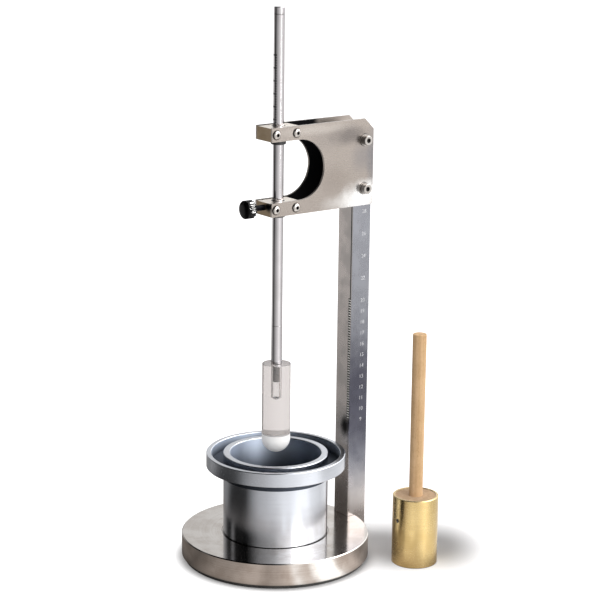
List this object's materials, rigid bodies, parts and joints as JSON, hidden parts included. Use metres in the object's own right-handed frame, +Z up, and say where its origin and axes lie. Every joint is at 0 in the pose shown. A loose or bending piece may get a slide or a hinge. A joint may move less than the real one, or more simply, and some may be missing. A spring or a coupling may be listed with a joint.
{
  "type": "plunger penetration apparatus",
  "caption": "Bench tester for fresh mortar: a clear plunger on a guided, clamped rod over a test cup with a spill ring, on a column and round base, with its brass tamper.",
  "frame": {"origin": "on the rod's axis, in the plane of the rubber pad's underside, on which the apparatus stands", "axes": "+Z up along the rod, +Y from the rod to the column, +X towards the column's scale side and the tamper"},
  "size_m": [0.1855, 0.194, 0.4845],
  "materials": {
    "rubber": "matt moulded",
    "ground_steel": "ground and turned, satin",
    "sheet_steel": "brushed sheet",
    "screws": "bright",
    "bronze": "dull bronze-brown",
    "black_plastic": "turned, matt",
    "rod_steel": "polished",
    "acrylic": "clear cast acrylic, polished",
    "white_plastic": "turned, satin",
    "pad_plastic": "turned",
    "knob_plastic": "moulded, glossy",
    "anodised": "satin, natural anodised",
    "brass": "brushed",
    "core_wood": "oiled, end grain",
    "handle_wood": "sanded beech",
    "pin_steel": "dark"
  },
  "bodies": {
    "stand": {"base_pad": "rubber", "base_plate": "ground_steel", "column": "ground_steel", "column_screws": "screws", "side_plate_right": "sheet_steel", "side_plate_left": "sheet_steel", "guide_block_upper": "bronze", "guide_block_lower": "bronze", "guide_bush_upper": "black_plastic", "guide_bush_lower": "black_plastic", "arm_screws_right": "screws", "arm_screws_left": "screws", "head_bolts_right": "screws", "head_bolts_left": "screws", "head_washers": "screws"},
    "plunger": {"rod_tube": "rod_steel", "rod_top_plug": "rod_steel", "rod_end": "rod_steel", "plunger_body": "acrylic", "plunger_tip": "white_plastic"},
    "clamp_pad": {"clamp_pad": "pad_plastic"},
    "clamp_knob": {"clamp_stud": "screws", "clamp_knob": "knob_plastic"},
    "cup": {"cup_body": "anodised", "spill_ring": "anodised"},
    "tamper": {"tamper_shell": "brass", "tamper_core": "core_wood", "tamper_handle": "handle_wood", "tamper_pin": "pin_steel"}
  },
  "joints": [
    {"name": "plunger_slide", "type": "slide", "parent": "stand", "child": "plunger", "axis": [0, 0, 1], "range_m": [-0.069, 0.125]},
    {"name": "clamp_turn", "type": "hinge", "parent": "clamp_pad", "child": "clamp_knob", "pos_m": [0, -0.03, 0.316], "axis": [0, -1, 0], "range_deg": [0, 720]},
    {"name": "clamp_travel", "type": "slide", "parent": "stand", "child": "clamp_pad", "axis": [0, -1, 0], "range_m": [0, 0.0016]},
    {"name": "cup_slide", "type": "slide", "parent": "stand", "child": "cup", "axis": [0, -1, 0], "range_m": [0, 0.15]},
    {"name": "tamper_lift", "type": "slide", "parent": "stand", "child": "tamper", "axis": [0, 0, 1], "range_m": [0, 0.2]}
  ],
  "couplings": [
    {"joint": "clamp_turn", "follows": "clamp_travel", "rad_per_m": 7854}
  ]
}
